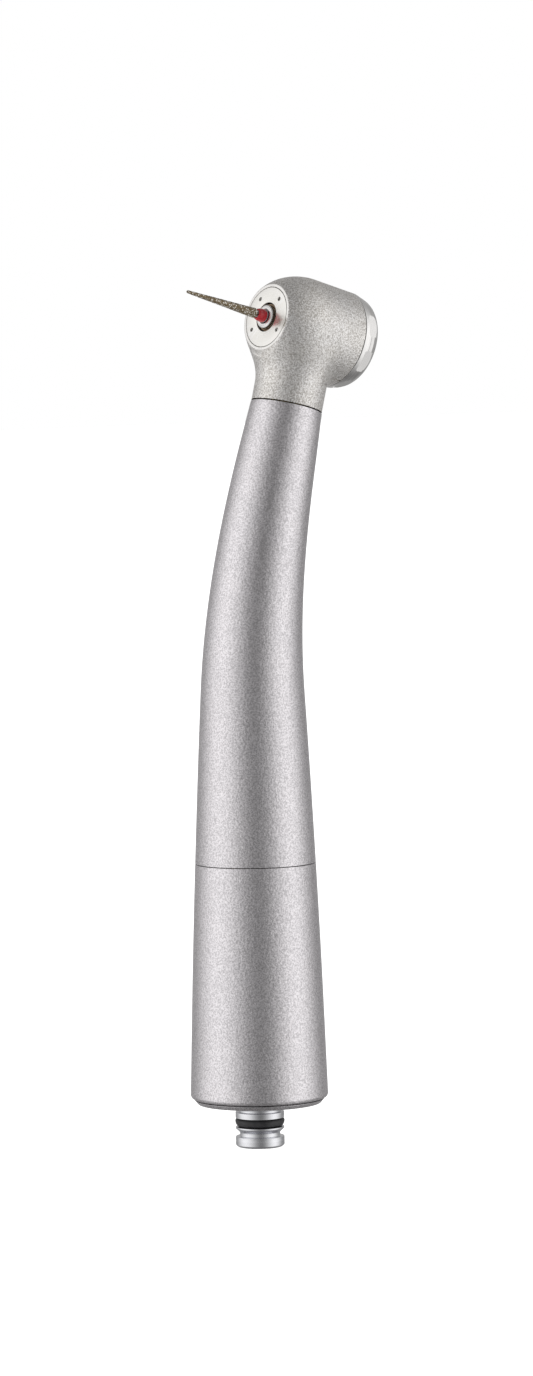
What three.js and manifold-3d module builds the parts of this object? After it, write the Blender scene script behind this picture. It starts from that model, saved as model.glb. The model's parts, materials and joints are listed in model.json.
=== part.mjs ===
// High speed dental handpiece: an air turbine in a push-button head, on a bent handle that ends
// in a coupling spigot. Millimetres. +Z runs along the handle from its rear face to the head, the
// neck leans to +X and the bur points to -X. The origin is the centre of the rear face.
import * as THREE from 'three';
import { mergeVertices } from 'three/addons/utils/BufferGeometryUtils.js';
import Module from 'manifold-3d';

const wasm = await Module();
wasm.setup();

// ---------------------------------------------------------------- driving dimensions

// Handle: lengths are measured along its centreline from the rear face.
const HANDLE_STATIONS = [[0, 8.55], [20, 7.87], [40, 6.99], [60, 5.93], [80, 4.87], [86.6, 4.45]];
const BEND_START = 50.6;
const BEND_LENGTH = 31;
const BEND_ANGLE = THREE.MathUtils.degToRad(15);
const BEND_EASE = 1.5;
const MID_SEAM = 29.8;
const NECK_SEAM = 86.6;
const SEAM_GAP = 0.05;
const SHELL_WALL = 0.9;

// Head: heights are measured along the bur axis from the head's centre, towards the bur.
const NECK_LENGTH = 9.96;
const FACE = 5.73;
const CAP_SEAM = -5.33;
const CAP_END = -7.85;
const HEAD_RADIUS = 6.2;
const CAP_RADIUS = 6.08;
const NOSE_RADIUS = 4.2;
const NOSE_CENTRE = 0.5;
const NOSE_LENGTH = 7.1;

// Grip slots around the head cap
const CAP_SLOTS = 8;
const SLOT_PHASE = THREE.MathUtils.degToRad(18);
const SLOT_WIDTH = 2.85;
const SLOT_FLOOR = 5.72;
const SLOT_START = -5.95;

// Turbine
const CHAMBER_RADIUS = 4.85;
const CHAMBER_FRONT = 1.8;
const CHAMBER_REAR = -2.3;
const IMPELLER_RADIUS = 4.6;
const IMPELLER_HUB = 2.6;
const IMPELLER_LENGTH = 3.2;
const IMPELLER_REAR = -1.8;
const IMPELLER_BORE = 1.62;
const BLADES = 8;
const SPINDLE_RADIUS = 1.54;
const COLLAR_RADIUS = 1.46;
const COLLAR_END = FACE + 0.39;
const PLATE_RADIUS = 3.76;
const PLATE_THICKNESS = 0.55;
const PLATE_HOLE = 1.84;
const SPRAY_PITCH_RADIUS = 2.92;
const SPRAY_ANGLES = [39, -39, 123.5, -123.5];
const SPRAY_RADIUS = 0.2;

// Ball bearings: 3.175 x 6.35 x 2.38
const BEARING_BORE = 1.5875;
const BEARING_OUTSIDE = 3.175;
const BEARING_WIDTH = 2.38;
const BALL_RADIUS = 0.5;
const BALL_PITCH = 2.38;
const BALLS = 7;
const OUTER_LAND = 2.76;
const INNER_LAND = 2.0;
const FRONT_BEARING = 3.16;
const REAR_BEARING = -3.39;

// Bur: friction-grip shank of 1.6 diameter with a tapered diamond part
const SHANK_RADIUS = 0.8;
const BUR_REAR = -2.9;
const BAND_END = FACE + 1.66;
const BUR_TIP = FACE + 12.8;

// Coupling spigot, and the lock ring around it
const SPIGOT_RADIUS = 3.02;
const SPIGOT_LENGTH = 5.4;
const PORT_RADIUS = 0.8;
const LOCK_RING_BORE = 2.8;
const LOCK_RING_MOUTH = 3.4;
const REAR_FACE_RADIUS = 7.6;

// Tubes: [radius, wall, rear position, neck position], positions across the handle as [x, y]
const TUBES = {
  drive_air_tube: [0.95, 0.2, [2.2, 0], [0.5, 1.3]],
  water_tube: [0.5, 0.15, [-2.2, 1.5], [-1.7, 0.62]],
  chip_air_tube: [0.5, 0.15, [-2.2, -1.5], [-1.7, -0.62]],
};
const [VALVE_X, VALVE_Y] = TUBES.water_tube[2];
const VALVE_RADIUS = 0.8;
const VALVE_SIDES = 12;
const TUBE_START = 13.4;
const TUBE_END = 84.6;
const RUNNING_GAP = 0.08;

// Sides of a full turn on large, medium, small and tiny round pieces
const LARGE = 28;
const MEDIUM = 20;
const SMALL = 16;
const TINY = 8;

// ---------------------------------------------------------------- materials

function metal(colour, roughness, metalness = 1) {
  return new THREE.MeshStandardMaterial({ color: colour, roughness, metalness });
}

const BLASTED = metal(0xcdc9c6, 0.45);
const SATIN = metal(0xc6c3c6, 0.38);
const POLISHED = metal(0xe4e3e0, 0.12);
const STEEL = metal(0xc2c4c6, 0.25);
const BRONZE = metal(0x7a5a3c, 0.35);
const BRASS = metal(0xb89a58, 0.35);
const SPRING = metal(0xa8abad, 0.3);
const CERAMIC = metal(0xe9e7df, 0.2, 0);
const CAGE = metal(0x8a6a3a, 0.5, 0);
const RUBBER = metal(0x17171a, 0.7, 0);
const RED = metal(0xa81420, 0.35, 0);
const DIAMOND = metal(0xa79b88, 0.7, 0.6);

// ---------------------------------------------------------------- solids

// A closed manifold solid of a three.js geometry, with its faces pointing out.
function solid(geometry) {
  const bare = geometry.clone();
  bare.deleteAttribute('normal');
  bare.deleteAttribute('uv');
  const merged = mergeVertices(bare, 1e-4);
  const points = merged.attributes.position.array;
  const corner = new THREE.Vector3();
  const triangles = [];
  let volume = 0;
  for (let i = 0; i < merged.index.count; i += 3) {
    const [a, b, c] = [0, 1, 2].map((k) => merged.index.getX(i + k));
    if (a === b || b === c || c === a) continue;
    triangles.push([a, b, c]);
    const [p, q, r] = [a, b, c].map((k) => corner.clone().fromArray(points, 3 * k));
    volume += p.dot(q.cross(r));
  }
  const outward = volume < 0 ? triangles.map(([a, b, c]) => [a, c, b]) : triangles;
  return new wasm.Manifold(new wasm.Mesh({
    numProp: 3,
    vertProperties: new Float32Array(points),
    triVerts: new Uint32Array(outward.flat()),
  }));
}

function geometryOf(body) {
  const mesh = body.getMesh();
  const geometry = new THREE.BufferGeometry();
  geometry.setAttribute('position', new THREE.BufferAttribute(new Float32Array(mesh.vertProperties), 3));
  geometry.setIndex(Array.from(mesh.triVerts));
  geometry.computeVertexNormals();
  return geometry;
}

// A solid of revolution about Z. The outline is a list of [radius, height] points; it is closed
// by a line back to its first point unless it starts and ends on the axis.
function turned(outline, sides = MEDIUM) {
  const points = outline.map(([radius, height]) => new THREE.Vector2(radius, height));
  const onAxis = outline[0][0] === 0 && outline[outline.length - 1][0] === 0;
  if (!onAxis) points.push(points[0].clone());
  return new THREE.LatheGeometry(points, sides).rotateX(Math.PI / 2);
}

function ring(inner, outer, low, high, sides = MEDIUM) {
  return turned([[inner, low], [outer, low], [outer, high], [inner, high]], sides);
}

function rod(radius, low, high, sides = SMALL) {
  return turned([[0, low], [radius, low], [radius, high], [0, high]], sides);
}

function oRing(radius, thickness, height) {
  return new THREE.TorusGeometry(radius, thickness, 5, SMALL).translate(0, 0, height);
}

// A straight round bar between two points.
function bar(radius, from, to, sides = TINY) {
  const start = new THREE.Vector3(...from);
  const run = new THREE.Vector3(...to).sub(start);
  const up = new THREE.Vector3(0, 0, 1);
  const turn = new THREE.Quaternion().setFromUnitVectors(up, run.clone().normalize());
  return rod(radius, 0, run.length(), sides).applyQuaternion(turn).translate(...from);
}

function cut(body, ...tools) {
  return tools.reduce((left, tool) => left.subtract(solid(tool)), solid(body));
}

function arc(radiusAcross, radiusAlong, across, along, startDeg, endDeg, steps) {
  return Array.from({ length: steps + 1 }, (_, i) => {
    const angle = THREE.MathUtils.degToRad(startDeg + ((endDeg - startDeg) * i) / steps);
    return [across + radiusAcross * Math.cos(angle), along + radiusAlong * Math.sin(angle)];
  });
}

function around(count, phase = 0) {
  return Array.from({ length: count }, (_, i) => phase + (2 * Math.PI * i) / count);
}

function spread(from, to, steps) {
  return Array.from({ length: steps + 1 }, (_, i) => from + ((to - from) * i) / steps);
}

// ---------------------------------------------------------------- handle centreline and outline

function leanAt(s) {
  const u = THREE.MathUtils.clamp((s - BEND_START) / BEND_LENGTH, 0, 1);
  return BEND_ANGLE * (1 - (1 - u) ** BEND_EASE);
}

// The centreline's x and z at distance s, summed in short steps.
function centreAt(s) {
  if (s <= BEND_START) return [0, s];
  const steps = Math.ceil((s - BEND_START) / 0.5);
  const step = (s - BEND_START) / steps;
  let [x, z] = [0, BEND_START];
  for (let i = 0; i < steps; i += 1) {
    const lean = leanAt(BEND_START + (i + 0.5) * step);
    x += step * Math.sin(lean);
    z += step * Math.cos(lean);
  }
  return [x, z];
}

// The handle's outer radius: a smooth curve through its stations.
function radiusAt(s) {
  const stations = HANDLE_STATIONS;
  const last = stations.length - 1;
  const slope = (i) => {
    const [before, after] = [stations[Math.max(i - 1, 0)], stations[Math.min(i + 1, last)]];
    return (after[1] - before[1]) / (after[0] - before[0]);
  };
  const i = Math.min(stations.findLastIndex(([at]) => at <= s), last - 1);
  const [start, end] = [stations[i], stations[i + 1]];
  const span = end[0] - start[0];
  const t = (s - start[0]) / span;
  const rise = end[1] - start[1];
  const blend = t * t * (3 - 2 * t);
  const entry = t * (1 - t) * (1 - t) * slope(i) * span;
  const exit = t * t * (1 - t) * slope(i + 1) * span;
  return start[1] + rise * blend + entry - exit;
}

// Bends a geometry that was built straight along Z onto the handle's centreline.
function bent(geometry) {
  const points = geometry.attributes.position;
  for (let i = 0; i < points.count; i += 1) {
    const [across, s] = [points.getX(i), points.getZ(i)];
    const lean = leanAt(s);
    const [x, z] = centreAt(s);
    points.setXYZ(i, x + across * Math.cos(lean), points.getY(i), z - across * Math.sin(lean));
  }
  return geometry;
}

// ---------------------------------------------------------------- scene graph

const handpiece = new THREE.Group();
const head = new THREE.Group();
const [neckX, neckZ] = centreAt(NECK_SEAM);
head.position.set(
  neckX + NECK_LENGTH * Math.sin(BEND_ANGLE),
  0,
  neckZ + NECK_LENGTH * Math.cos(BEND_ANGLE),
);
// In the head's own frame +Z is the bur's direction and +X points away from the neck.
head.rotation.y = BEND_ANGLE - Math.PI / 2;
handpiece.add(head);

function place(group, name, shape, material) {
  const body = shape.isBufferGeometry ? solid(shape) : shape;
  const mesh = new THREE.Mesh(geometryOf(body), material);
  mesh.name = name;
  group.add(mesh);
}

// ---------------------------------------------------------------- head casting, plate and cap

function headOutline() {
  const shoulder = arc(HEAD_RADIUS, NOSE_LENGTH, 0, NOSE_CENTRE, 0, 90, 14)
    .filter(([radius]) => radius > NOSE_RADIUS + 0.1);
  return [[0, CAP_SEAM], [CAP_RADIUS, CAP_SEAM], ...shoulder, [NOSE_RADIUS, FACE], [0, FACE]];
}

function headHousing() {
  const neck = turned([
    [0, -NECK_LENGTH - 3.1],
    [3.45, -NECK_LENGTH - 3.1],
    [3.45, -NECK_LENGTH],
    [4.45, -NECK_LENGTH],
    [4.38, -7.2],
    [4.5, -6],
    [4.9, -5],
    [5.2, -4.2],
    [5.2, -3.2],
    [0, -3.2],
  ], LARGE).rotateY(Math.PI / 2);
  const inside = turned([
    [0, CAP_SEAM - 0.5],
    [5.35, CAP_SEAM - 0.5],
    [5.35, CHAMBER_REAR],
    [CHAMBER_RADIUS, CHAMBER_REAR],
    [CHAMBER_RADIUS, CHAMBER_FRONT],
    [3.25, CHAMBER_FRONT],
    [3.25, 2.85],
    [3.8, 2.85],
    [3.8, 3.45],
    [3.25, 3.45],
    [3.25, 4.6],
    [1.95, 4.6],
    [1.95, FACE - 0.6],
    [PLATE_RADIUS + SEAM_GAP, FACE - 0.6],
    [PLATE_RADIUS + SEAM_GAP, FACE + 0.5],
    [0, FACE + 0.5],
  ], LARGE);
  const capClearance = ring(CAP_RADIUS + 0.02, 10, CAP_SEAM - 3, -5.05, LARGE);
  const seatEnd = rod(10, CAP_SEAM - 3, CAP_SEAM, TINY);
  const sprayGroove = ring(2.65, 3.25, FACE - 0.85, FACE - 0.5);
  const neckSocket = rod(2.9, -NECK_LENGTH - 4, -8.9).rotateY(Math.PI / 2);
  const driveBore = bar(PORT_RADIUS, [-9.2, 1.3, -0.5], [-4, 1.3, -0.5]);
  const exhaustBore = bar(PORT_RADIUS, [-9.2, -1.3, -0.5], [-4, -1.3, -0.5]);
  const sprayBores = [0.62, -0.62].map((y) => bar(0.3, [-9.2, y, 1.7], [-2.95, y, 4.98]));
  const outside = solid(turned(headOutline(), LARGE)).add(solid(neck));
  const bores = [driveBore, exhaustBore, ...sprayBores];
  const tools = [inside, capClearance, seatEnd, sprayGroove, neckSocket, ...bores];
  return tools.reduce((left, tool) => left.subtract(solid(tool)), outside);
}

function facePlate() {
  const holes = SPRAY_ANGLES.map((degrees) => {
    const angle = degrees * Math.PI / 180;
    const at = [SPRAY_PITCH_RADIUS * Math.cos(angle), SPRAY_PITCH_RADIUS * Math.sin(angle)];
    return rod(SPRAY_RADIUS, FACE - 2, FACE + 1, TINY).translate(...at, 0);
  });
  return cut(ring(PLATE_HOLE, PLATE_RADIUS, FACE - PLATE_THICKNESS, FACE, LARGE), ...holes);
}

function headCap() {
  const body = turned([
    [4.65, CHAMBER_REAR - 0.05],
    [5.27, CHAMBER_REAR - 0.05],
    [5.27, CAP_SEAM - SEAM_GAP],
    [CAP_RADIUS, CAP_SEAM - SEAM_GAP],
    [6.04, -6.3],
    [5.9, -7],
    [5.66, -7.55],
    [5.4, CAP_END],
    [3.95, CAP_END],
    [3.85, -7.75],
    [3.85, -7.25],
    [4.4, -7.25],
    [4.4, -5.4],
    [4.65, -5.4],
  ], LARGE);
  const [depth, length] = [1.6, 3];
  const slots = around(CAP_SLOTS, SLOT_PHASE).map((angle) => (
    new THREE.BoxGeometry(depth, SLOT_WIDTH, length)
      .translate(SLOT_FLOOR + depth / 2, 0, SLOT_START - length / 2)
      .rotateZ(angle)
  ));
  return cut(body, ...slots);
}

function rearBearingCup() {
  return turned([
    [3.25, -2.4],
    [4.57, -2.4],
    [4.57, -4.92],
    [2.4, -4.92],
    [2.4, -4.66],
    [3.25, -4.66],
    [3.25, REAR_BEARING - 0.3],
    [3.8, REAR_BEARING - 0.3],
    [3.8, REAR_BEARING + 0.3],
    [3.25, REAR_BEARING + 0.3],
  ]);
}

function pushButton() {
  return turned([
    [0, -8.3],
    [2.2, -8.22],
    [3.5, -8.02],
    [3.75, -7.8],
    [3.75, -7.12],
    [4.15, -7.12],
    [4.15, -6.5],
    [0.75, -6.5],
    [0.75, -5.2],
    [0, -5.2],
  ]);
}

// A wave ring: one turn of wire with three crests.
function buttonSpring() {
  const wave = new THREE.TorusGeometry(2.6, 0.12, 5, 24);
  const points = wave.attributes.position;
  for (let i = 0; i < points.count; i += 1) {
    const angle = Math.atan2(points.getY(i), points.getX(i));
    points.setZ(i, points.getZ(i) - 5.95 + 0.38 * Math.cos(3 * angle));
  }
  return wave;
}

place(head, 'head_housing', headHousing(), BLASTED);
place(head, 'face_plate', facePlate(), POLISHED);
place(head, 'head_cap', headCap(), POLISHED);
place(head, 'cap_backing_plate', ring(1.1, 4.57, -5.36, -5.0), STEEL);
place(head, 'rear_bearing_cup', rearBearingCup(), STEEL);
place(head, 'push_button', pushButton(), POLISHED);
place(head, 'button_spring', buttonSpring(), SPRING);
place(head, 'preload_washer', ring(2.75, 3.15, 4.4, 4.55), SPRING);
place(head, 'front_bearing_oring', oRing(3.5, 0.24, 3.15), RUBBER);
place(head, 'rear_bearing_oring', oRing(3.5, 0.24, REAR_BEARING), RUBBER);

// ---------------------------------------------------------------- ball bearings

const RACE_GAP = 0.05;
const GROOVE = BALL_RADIUS + RACE_GAP;

// One race: a plain ring whose wall facing the balls carries an arc groove.
function race(wall, land, centre) {
  const half = BEARING_WIDTH / 2;
  const opening = Math.asin(Math.abs(land - BALL_PITCH) / GROOVE);
  const reach = THREE.MathUtils.radToDeg(opening);
  const side = Math.sign(land - BALL_PITCH);
  const angles = spread(90 - reach, -90 + reach, 4);
  const points = angles.map((angle) => {
    const turn = THREE.MathUtils.degToRad(angle);
    return [BALL_PITCH + side * GROOVE * Math.cos(turn), centre + GROOVE * Math.sin(turn)];
  });
  const sides = side > 0 ? MEDIUM : SMALL;
  return turned([
    [wall, centre + half],
    [land, centre + half],
    ...points,
    [land, centre - half],
    [wall, centre - half],
  ], sides);
}

// The cage is a ring with one radial pocket for each ball.
function cage(centre) {
  const pockets = around(BALLS).map((angle) => (
    rod(BALL_RADIUS + 0.06, 1, 4, TINY).rotateY(Math.PI / 2).rotateZ(angle).translate(0, 0, centre)
  ));
  return cut(ring(2.08, 2.68, centre - 0.85, centre + 0.85, 2 * BALLS), ...pockets);
}

for (const [side, centre] of [['front', FRONT_BEARING], ['rear', REAR_BEARING]]) {
  place(head, `${side}_outer_race`, race(BEARING_OUTSIDE, OUTER_LAND, centre), STEEL);
  place(head, `${side}_inner_race`, race(BEARING_BORE, INNER_LAND, centre), STEEL);
  place(head, `${side}_cage`, cage(centre), CAGE);
  around(BALLS).forEach((angle, i) => {
    const ball = new THREE.SphereGeometry(BALL_RADIUS, 8, 6)
      .translate(BALL_PITCH * Math.cos(angle), BALL_PITCH * Math.sin(angle), centre);
    place(head, `${side}_ball_${i + 1}`, ball, CERAMIC);
  });
}

// ---------------------------------------------------------------- rotor, chuck and bur

function spindle() {
  return turned([
    [1.2, -4.5],
    [1.2, 5.55],
    [0.88, 5.6],
    [0.88, COLLAR_END - 0.08],
    [1.0, COLLAR_END],
    [1.34, COLLAR_END],
    [COLLAR_RADIUS, COLLAR_END - 0.12],
    [COLLAR_RADIUS, 4.38],
    [SPINDLE_RADIUS, 4.38],
    [SPINDLE_RADIUS, -4.72],
    [0.78, -4.72],
    [0.78, -4.5],
  ], SMALL);
}

// A hub with curved blades that lean into the air jet.
function impeller() {
  const shape = new THREE.Shape();
  const at = (radius, angle) => [radius * Math.cos(angle), radius * Math.sin(angle)];
  const pitch = (2 * Math.PI) / BLADES;
  around(BLADES).forEach((angle, i) => {
    const root = at(IMPELLER_HUB, angle);
    if (i === 0) shape.moveTo(...root);
    else shape.lineTo(...root);
    shape.quadraticCurveTo(...at(3.9, angle - 0.02 * pitch), ...at(IMPELLER_RADIUS, angle + 0.34 * pitch));
    shape.lineTo(...at(IMPELLER_RADIUS, angle + 0.5 * pitch));
    shape.quadraticCurveTo(...at(3.9, angle + 0.22 * pitch), ...at(IMPELLER_HUB, angle + 0.4 * pitch));
    shape.lineTo(...at(IMPELLER_HUB, angle + 0.7 * pitch));
  });
  const options = { depth: IMPELLER_LENGTH, bevelEnabled: false, curveSegments: 4 };
  const wheel = new THREE.ExtrudeGeometry(shape, options).translate(0, 0, IMPELLER_REAR);
  return cut(wheel, rod(IMPELLER_BORE, -3, 3));
}

// A sleeve split at its rear into three spring jaws.
function chuckCollet() {
  const slits = around(3).map((angle) => (
    new THREE.BoxGeometry(2, 0.25, 5).translate(1, 0, -0.6).rotateZ(angle)
  ));
  return cut(ring(0.83, 1.15, -2.9, 5.5, SMALL), ...slits);
}

function chuckPlunger() {
  return turned([[0, -4.95], [0.6, -4.95], [0.6, -4.42], [1.1, -4.42], [1.1, -3.6], [0, -3.6]], SMALL);
}

function burShank() {
  return turned([
    [0, BUR_REAR],
    [0.65, BUR_REAR],
    [SHANK_RADIUS, BUR_REAR + 0.15],
    [SHANK_RADIUS, 6.18],
    [0.42, 6.18],
    [0.42, BAND_END - 0.1],
    [0, BAND_END - 0.1],
  ], SMALL);
}

function burDiamond() {
  return turned([
    [0, BAND_END],
    [0.62, BAND_END],
    [0.68, BAND_END + 0.12],
    [0.2, BUR_TIP - 0.2],
    [0.12, BUR_TIP - 0.05],
    [0, BUR_TIP],
  ], SMALL);
}

place(head, 'spindle', spindle(), POLISHED);
place(head, 'impeller', impeller(), STEEL);
place(head, 'slinger_ring', ring(1.52, 1.7, 4.66, 5.45, SMALL), BRONZE);
place(head, 'chuck_collet', chuckCollet(), STEEL);
place(head, 'chuck_plunger', chuckPlunger(), STEEL);
place(head, 'bur_shank', burShank(), STEEL);
place(head, 'bur_colour_band', turned([
  [0.47, 6.24],
  [0.84, 6.24],
  [0.6, BAND_END - 0.05],
  [0.47, BAND_END - 0.05],
], SMALL), RED);
place(head, 'bur_diamond', burDiamond(), DIAMOND);

// ---------------------------------------------------------------- handle shells and rings

function frontShell() {
  const outside = spread(MID_SEAM + SEAM_GAP, NECK_SEAM - SEAM_GAP, 10).map((s) => [radiusAt(s), s]);
  const inside = spread(NECK_SEAM - SEAM_GAP, 40, 7).map((s) => [radiusAt(s) - SHELL_WALL, s]);
  return bent(turned([...outside, ...inside, [6.15, 39.4], [6.15, MID_SEAM + SEAM_GAP]], LARGE));
}

function rearSleeve() {
  const outside = spread(1.1, MID_SEAM, 3).map((s) => [radiusAt(s), s]);
  return turned([[7.05, 0.62], [8.1, 0.62], ...outside, [6.5, MID_SEAM], [6.5, 6.2], [7.05, 5.6]],
    LARGE);
}

function middleConnector() {
  return turned([
    [5.1, 20],
    [6.35, 20],
    [6.35, 25.7],
    [5.75, 25.7],
    [5.75, 26.3],
    [6.35, 26.3],
    [6.35, 29.4],
    [6.0, 29.7],
    [6.0, 33.7],
    [5.4, 33.7],
    [5.4, 34.3],
    [6.0, 34.3],
    [6.0, 39],
    [5.1, 39],
  ]);
}

// The bore's mouth is chamfered, so the flat rear face lies clear of the spigot's flanges.
function rearLockRing() {
  return turned([
    [LOCK_RING_BORE, LOCK_RING_MOUTH - LOCK_RING_BORE],
    [LOCK_RING_MOUTH, 0],
    [REAR_FACE_RADIUS, 0],
    [8.05, 0.55],
    [6.95, 0.55],
    [6.95, 5.2],
    [6.2, 5.2],
    [6.2, 1.2],
    [LOCK_RING_BORE, 1.2],
  ], LARGE);
}

place(handpiece, 'front_shell', frontShell(), SATIN);
place(handpiece, 'rear_sleeve', rearSleeve(), SATIN);
place(handpiece, 'rear_lock_ring', rearLockRing(), SATIN);
place(handpiece, 'middle_connector', middleConnector(), BRASS);
place(handpiece, 'connector_oring_front', oRing(5.83, 0.25, 34), RUBBER);
place(handpiece, 'connector_oring_rear', oRing(6.18, 0.25, 26), RUBBER);

// ---------------------------------------------------------------- coupling, manifold and tubes

// Ports through the spigot: [radius, x, y]
const SPIGOT_PORTS = [
  [PORT_RADIUS, 1.25, 0],
  [PORT_RADIUS, -1.25, 0],
  [0.35, 0, 1.5],
  [0.35, 0, -1.5],
];

function couplingSpigot() {
  const body = turned([
    [0, 5.4],
    [2.4, 5.4],
    [2.4, 1.3],
    [2.6, 1.2],
    [2.6, -0.15],
    [SPIGOT_RADIUS - 0.05, -0.2],
    [SPIGOT_RADIUS - 0.05, -0.75],
    [2.6, -0.75],
    [2.6, -1.05],
    [SPIGOT_RADIUS, -1.05],
    [SPIGOT_RADIUS, -1.8],
    [2.45, -1.8],
    [2.45, -2.9],
    [SPIGOT_RADIUS, -2.9],
    [SPIGOT_RADIUS, -3.1],
    [2.5, -3.6],
    [2.5, -4.05],
    [SPIGOT_RADIUS, -4.1],
    [SPIGOT_RADIUS, 0.25 - SPIGOT_LENGTH],
    [2.75, -SPIGOT_LENGTH],
    [0, -SPIGOT_LENGTH],
  ], MEDIUM);
  return cut(body, ...SPIGOT_PORTS.map(([radius, x, y]) => rod(radius, -7, 7, TINY).translate(x, y, 0)));
}

function manifold() {
  const body = turned([
    [0, 1.35],
    [6.1, 1.35],
    [6.1, 10.2],
    [5.65, 10.2],
    [5.65, 10.8],
    [6.1, 10.8],
    [6.1, 17],
    [0, 17],
  ]);
  const spigotSeat = rod(2.5, 0, 5.5, MEDIUM);
  const channels = [];
  for (const [radius, , [x, y]] of Object.values(TUBES)) {
    const narrow = radius > 0.6 ? 0.7 : 0.35;
    const inlet = radius > 0.6 ? [1.25, 0] : [0, Math.sign(y) * 1.5];
    channels.push(rod(radius + RUNNING_GAP, TUBE_START - 0.1, 18, TINY).translate(x, y, 0));
    channels.push(rod(narrow, 8, 14, TINY).translate(x, y, 0));
    channels.push(bar(narrow, [...inlet, 5.4], [x, y, 8.4]));
  }
  const valveSeat = rod(VALVE_RADIUS, 8.6, TUBE_START + 0.05, VALVE_SIDES).translate(VALVE_X, VALVE_Y, 0);
  const exhaust = bar(PORT_RADIUS, [-1.25, 0, 5.3], [0.4, -3, 17.5]);
  return cut(body, spigotSeat, ...channels, valveSeat, exhaust);
}

// A tube that drifts across the handle from its rear position to its neck position.
function airTube([radius, wall, rear, neck]) {
  const stations = [TUBE_START, 20, ...spread(36, 82, 5), TUBE_END];
  const outline = [
    ...stations.map((s) => [radius, s]),
    ...stations.slice().reverse().map((s) => [radius - wall, s]),
  ];
  const tube = turned(outline, TINY);
  const points = tube.attributes.position;
  for (let i = 0; i < points.count; i += 1) {
    const t = THREE.MathUtils.smoothstep(points.getZ(i), 20, 82);
    points.setX(i, points.getX(i) + THREE.MathUtils.lerp(rear[0], neck[0], t));
    points.setY(i, points.getY(i) + THREE.MathUtils.lerp(rear[1], neck[1], t));
  }
  return bent(tube);
}

// The block in the neck socket that holds the tubes' ends.
function neckTubeBlock() {
  const holes = Object.values(TUBES).flatMap(([radius, wall, , [x, y]]) => [
    rod(radius + RUNNING_GAP, 80, TUBE_END + 0.1, TINY).translate(x, y, 0),
    rod(radius - wall, 80, 90, TINY).translate(x, y, 0),
  ]);
  const exhaust = rod(PORT_RADIUS, 80, 90, TINY).translate(0.5, -1.3, 0);
  const block = cut(rod(2.8, 83.6, 87.3), ...holes, exhaust);
  return bent(geometryOf(block));
}

place(handpiece, 'coupling_spigot', couplingSpigot(), STEEL);
place(handpiece, 'spigot_oring', oRing(2.79, 0.28, -2.35), RUBBER);
place(handpiece, 'manifold', manifold(), BRASS);
place(handpiece, 'manifold_oring', oRing(6.12, 0.28, 10.5), RUBBER);
place(handpiece, 'neck_tube_block', neckTubeBlock(), BRASS);
for (const [name, tube] of Object.entries(TUBES)) {
  place(handpiece, name, airTube(tube), STEEL);
}

// ---------------------------------------------------------------- water check valve

function inValve(shape) {
  return shape.translate(VALVE_X, VALVE_Y, 0);
}

const valveBall = new THREE.SphereGeometry(0.5, 8, 6).translate(0, 0, 9.66);
place(handpiece, 'check_valve_seat', inValve(ring(0.3, 0.72, 8.7, 9.2, VALVE_SIDES)), BRASS);
place(handpiece, 'check_valve_ball', inValve(valveBall), CERAMIC);
place(handpiece, 'check_valve_spring', inValve(ring(0.5, 0.65, 10.05, 13.1, VALVE_SIDES)), SPRING);

export default handpiece;
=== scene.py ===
import json
import math

import bmesh
import bpy
import numpy as np
from mathutils import Matrix, Vector, noise


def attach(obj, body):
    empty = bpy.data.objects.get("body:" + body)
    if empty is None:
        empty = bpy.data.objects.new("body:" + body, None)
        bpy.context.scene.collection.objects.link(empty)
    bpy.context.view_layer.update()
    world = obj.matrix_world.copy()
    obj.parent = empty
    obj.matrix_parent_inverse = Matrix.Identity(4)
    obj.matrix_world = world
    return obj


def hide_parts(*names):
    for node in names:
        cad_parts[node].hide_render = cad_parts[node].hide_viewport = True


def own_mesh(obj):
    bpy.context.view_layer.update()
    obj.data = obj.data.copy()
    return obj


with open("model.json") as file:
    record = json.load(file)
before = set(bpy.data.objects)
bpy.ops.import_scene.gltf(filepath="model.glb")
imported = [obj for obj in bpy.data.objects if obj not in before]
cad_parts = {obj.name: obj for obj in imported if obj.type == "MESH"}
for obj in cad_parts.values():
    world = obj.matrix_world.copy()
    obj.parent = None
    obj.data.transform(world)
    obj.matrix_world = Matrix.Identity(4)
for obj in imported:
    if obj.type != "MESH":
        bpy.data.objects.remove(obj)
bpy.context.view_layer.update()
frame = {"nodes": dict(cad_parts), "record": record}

# High speed dental handpiece. Shapes are written in millimetres and scaled to metres when a piece is
# made. +Z runs along the handle, the neck leans to +X and the bur points to -X. Head shapes are in
# the head's own frame, where +Z is the bur's direction and +X points away from the neck.
MM = 0.001
RECORD = frame["record"]
SLOT_OF = {row["node"]: row["material_slot"] for row in RECORD["subparts"]}
COLOUR_OF = {row["slot"]: row["base_color"] for row in RECORD["materials"]}
BODY_OF = {node: body for body, nodes in RECORD["behaviour"]["bodies"].items() for node in nodes}

# ------------------------------------------------------------------ driving dimensions, as in the CAD

# Each station is a distance from the rear face and the handle's radius there.
HANDLE_STATIONS = [(0, 8.55), (20, 7.87), (40, 6.99), (60, 5.93), (80, 4.87), (86.6, 4.45)]
BEND_START = 50.6
BEND_LENGTH = 31.0
BEND_ANGLE = math.radians(15)
BEND_EASE = 1.5
MID_SEAM = 29.8
NECK_SEAM = 86.6
SEAM_GAP = 0.05
SHELL_WALL = 0.9

NECK_LENGTH = 9.96
FACE = 5.73
CAP_SEAM = -5.33
CAP_END = -7.85
HEAD_RADIUS = 6.2
CAP_RADIUS = 6.08
NOSE_CENTRE = 0.5
NOSE_LENGTH = 7.1
NECK_RADIUS = 4.42
CAP_SLOTS = 8
SLOT_PHASE = math.radians(18)
SLOT_WIDTH = 2.85
SLOT_FLOOR = 5.72
SLOT_START = -5.95

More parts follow.
